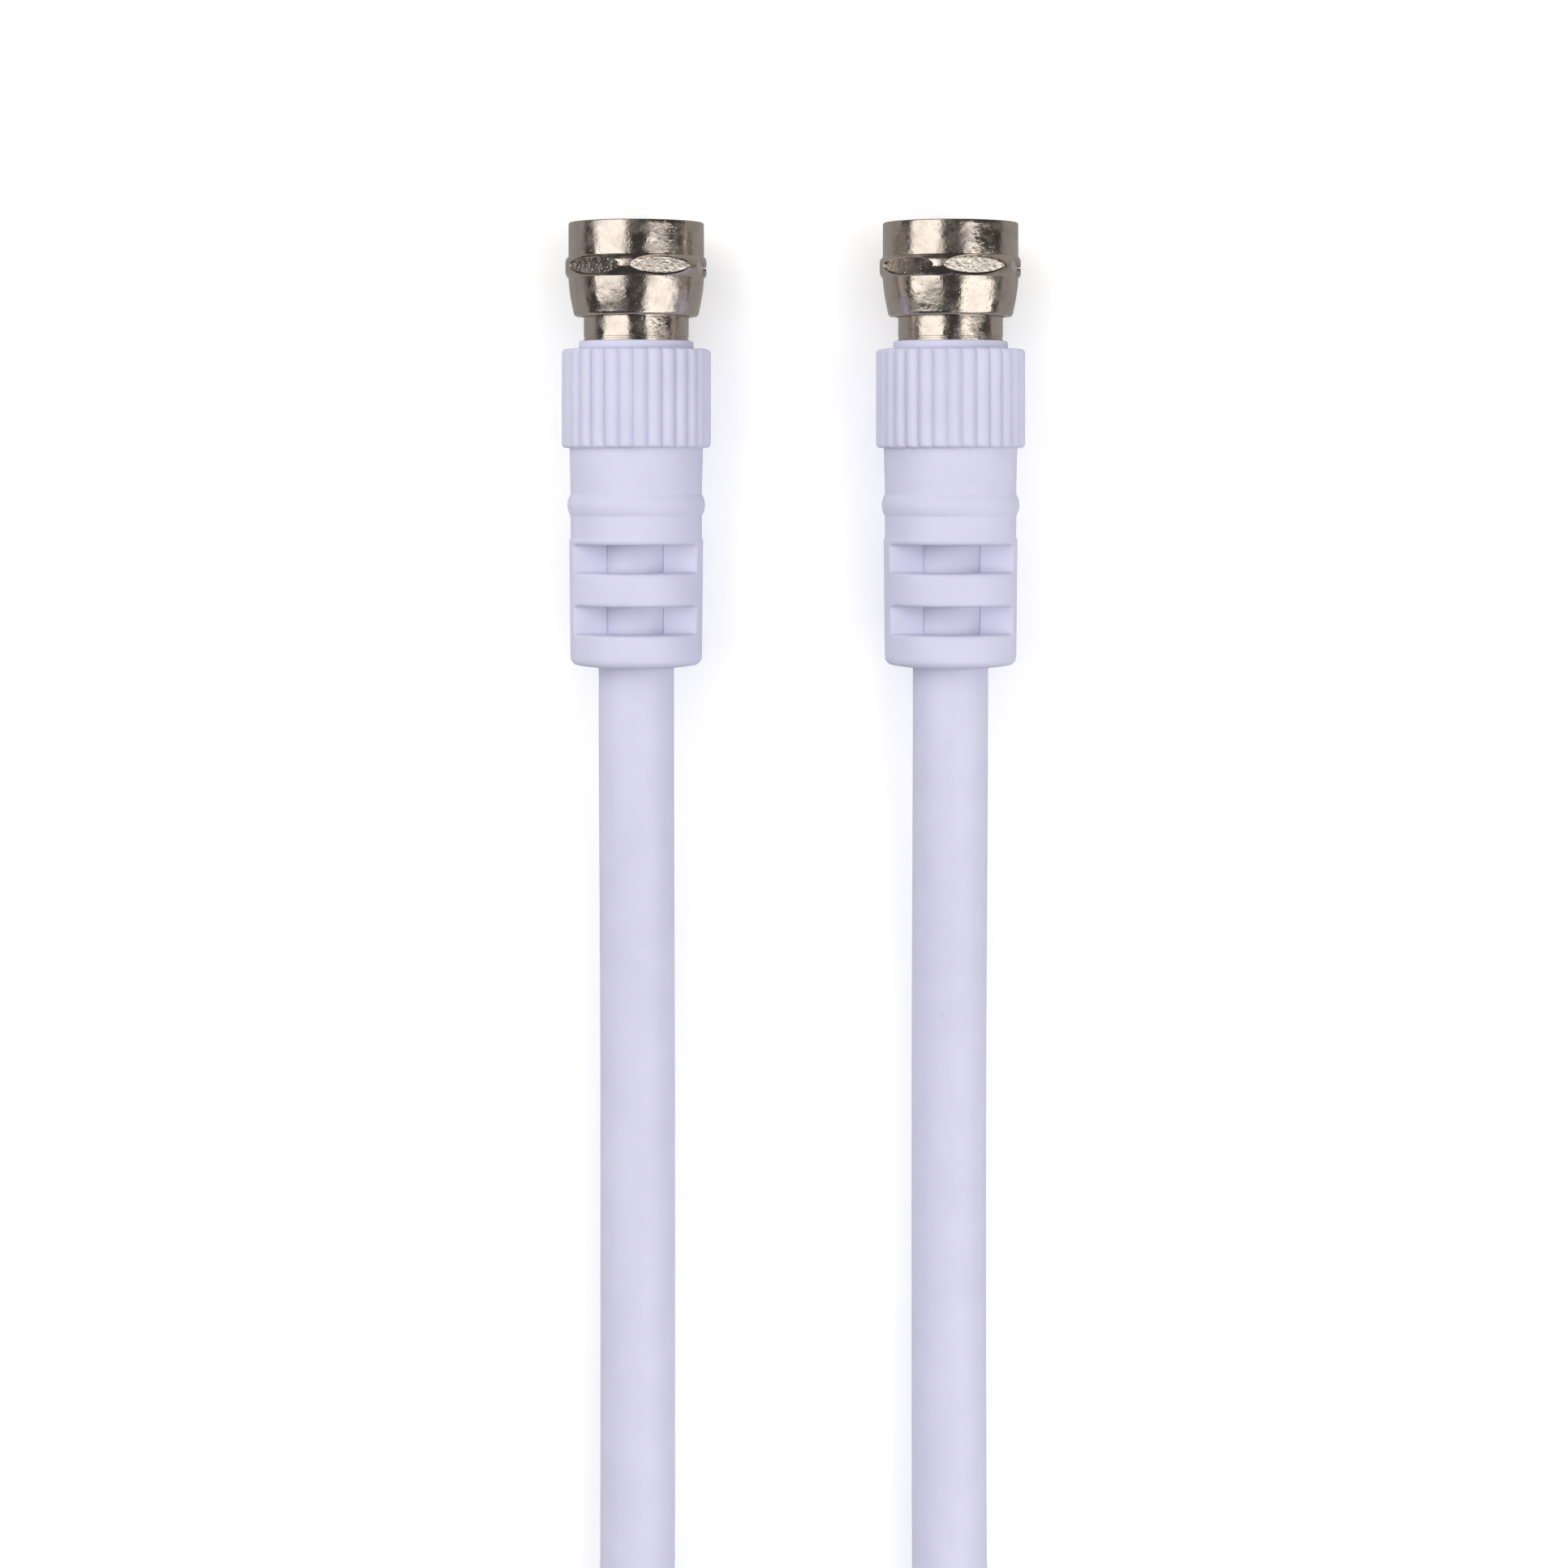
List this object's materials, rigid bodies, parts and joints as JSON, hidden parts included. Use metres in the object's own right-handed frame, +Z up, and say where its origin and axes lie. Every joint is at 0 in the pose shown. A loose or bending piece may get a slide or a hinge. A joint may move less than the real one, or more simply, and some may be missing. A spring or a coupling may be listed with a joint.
{
  "type": "coaxial antenna cable",
  "caption": "White coaxial antenna lead with a moulded screw-on plug at each end, its cable wound into a neat tied coil behind the plugs.",
  "frame": {"origin": "on the ground, at the bottom centre of the box of the two plugs, midway between them", "axes": "+Y along the plugs towards their open nuts, +X from plug a to plug b, +Z up"},
  "size_m": [0.0848, 0.2195, 0.0195],
  "materials": {
    "white_plastic": "satin moulded plastic with a fine grain",
    "white_jacket": "satin extruded jacket",
    "nickel": "bright nickel plating, slightly streaky and pitted",
    "insulation": "matte foamed insulation",
    "pin_metal": "bright drawn wire",
    "tie_plastic": "smooth plastic-coated tie"
  },
  "bodies": {
    "lead": {"boot_a": "white_plastic", "boot_b": "white_plastic", "ferrule_a": "nickel", "ferrule_b": "nickel", "insulator_a": "insulation", "insulator_b": "insulation", "centre_pin_a": "pin_metal", "centre_pin_b": "pin_metal", "cable_run_a": "white_jacket", "cable_run_b": "white_jacket", "cable_coil": "white_jacket", "coil_tie_near": "tie_plastic", "coil_tie_far": "tie_plastic"},
    "coupling_nut_a": {"nut_a": "nickel"},
    "coupling_nut_b": {"nut_b": "nickel"}
  },
  "joints": [
    {"name": "nut_a_spin", "type": "hinge", "parent": "lead", "child": "coupling_nut_a", "pos_m": [-0.01355, 0.015, 0.00643], "axis": [0, 1, 0], "continuous": true},
    {"name": "nut_b_spin", "type": "hinge", "parent": "lead", "child": "coupling_nut_b", "pos_m": [0.01355, 0.015, 0.00643], "axis": [0, 1, 0], "continuous": true}
  ]
}
